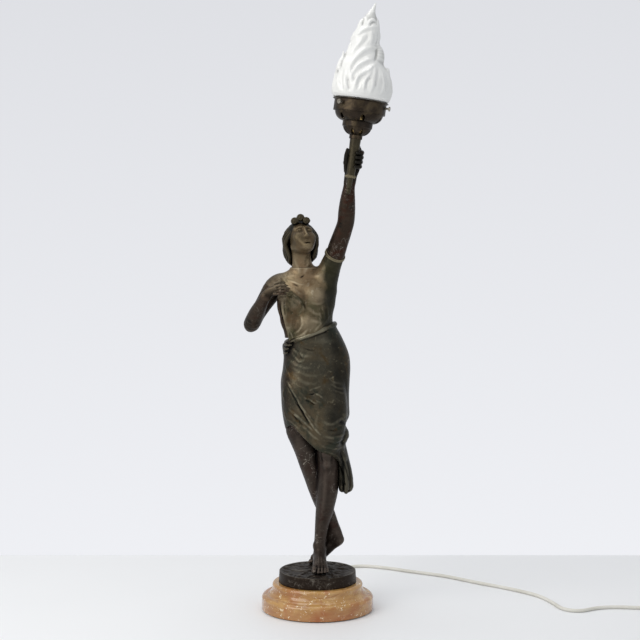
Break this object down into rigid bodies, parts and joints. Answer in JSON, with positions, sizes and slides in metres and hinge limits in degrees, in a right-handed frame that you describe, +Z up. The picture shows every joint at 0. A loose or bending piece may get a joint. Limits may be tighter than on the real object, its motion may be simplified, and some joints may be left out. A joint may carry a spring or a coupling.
{
  "type": "figural table lamp",
  "caption": "Cast draped figure on a round stone foot raising a torch that carries a metal gallery and a flame-shaped glass shade.",
  "frame": {"origin": "centre of the flat underside of the felt pad, on the table", "axes": "+Z up, -Y the front that the figure faces, +X to the right of someone who looks at the front"},
  "size_m": [0.754, 0.3383, 0.8859],
  "materials": {
    "stone": "polished veined tan marble with white flecks",
    "felt": "green baize pad",
    "bronze": "dark brown and green patinated cast bronze, rubbed on the high places",
    "aged_brass": "dark aged brass",
    "screw_metal": "dulled turned steel",
    "steel": "plain zinc-plated steel",
    "holder_brass": "plain pressed brass",
    "porcelain": "white glazed porcelain",
    "cap_metal": "bright pressed cap",
    "bulb_glass": "clear thin glass",
    "bulb_stem": "clear glass stem",
    "frosted_glass": "satin white pressed glass",
    "flex": "cream plastic sheath",
    "flex_plastic": "cream moulded grommet",
    "tie_plastic": "black twist tie",
    "switch_plastic": "cream moulded plastic",
    "rocker_plastic": "cream moulded rocker",
    "pin_metal": "nickel-plated pins"
  },
  "bodies": {
    "lamp": {"armlet": "bronze", "bead_ring": "bronze", "bent_arm": "bronze", "centre_contact": "holder_brass", "clamp_ring": "holder_brass", "coil": "flex", "coil_link": "flex", "coil_tail": "flex", "coil_tie": "tie_plastic", "felt_pad": "felt", "foot_screws": "steel", "ground_plate": "bronze", "head": "bronze", "inner_cable": "flex", "lampholder_core": "porcelain", "lampholder_shell": "holder_brass", "legs": "bronze", "nipple": "steel", "nipple_locknut": "steel", "plug_body": "switch_plastic", "plug_pins": "pin_metal", "raised_arm": "bronze", "screw_shell": "holder_brass", "shade_gallery": "aged_brass", "skirt": "bronze", "socket_cup": "aged_brass", "stone_foot": "stone", "strain_relief": "flex_plastic", "supply_lead": "flex", "switch_base": "switch_plastic", "switch_cover": "switch_plastic", "tie_bolt": "steel", "tie_washer": "steel", "torch_collar": "aged_brass", "torch_finial": "bronze", "torch_handle": "bronze", "torso": "bronze"},
    "shade": {"flame_shade": "frosted_glass"},
    "bulb": {"bulb_cap": "cap_metal", "bulb_glass": "bulb_glass", "bulb_stem": "bulb_stem"},
    "rocker": {"switch_rocker": "rocker_plastic"},
    "screw_1": {"thumb_screw_1": "screw_metal"},
    "screw_2": {"thumb_screw_2": "screw_metal"},
    "screw_3": {"thumb_screw_3": "screw_metal"}
  },
  "joints": [
    {"name": "shade_lift", "type": "slide", "parent": "lamp", "child": "shade", "axis": [0.1357, 0, 0.9907], "range_m": [0, 0.14]},
    {"name": "thumb_screw_1_slide", "type": "slide", "parent": "lamp", "child": "screw_1", "axis": [0.957, -0.2588, -0.1311], "range_m": [0, 0.005]},
    {"name": "thumb_screw_2_slide", "type": "slide", "parent": "lamp", "child": "screw_2", "axis": [-0.7006, -0.7071, 0.096], "range_m": [0, 0.005]},
    {"name": "thumb_screw_3_slide", "type": "slide", "parent": "lamp", "child": "screw_3", "axis": [-0.2564, 0.9659, 0.0351], "range_m": [0, 0.005]},
    {"name": "bulb_turn", "type": "hinge", "parent": "lamp", "child": "bulb", "pos_m": [0.06199, -0.036, 0.74624], "axis": [0.1357, 0, 0.9907], "continuous": true},
    {"name": "switch_rock", "type": "hinge", "parent": "lamp", "child": "rocker", "pos_m": [0.526, -0.008, 0.0108], "axis": [0, 1, 0], "range_deg": [-24, 0]}
  ]
}
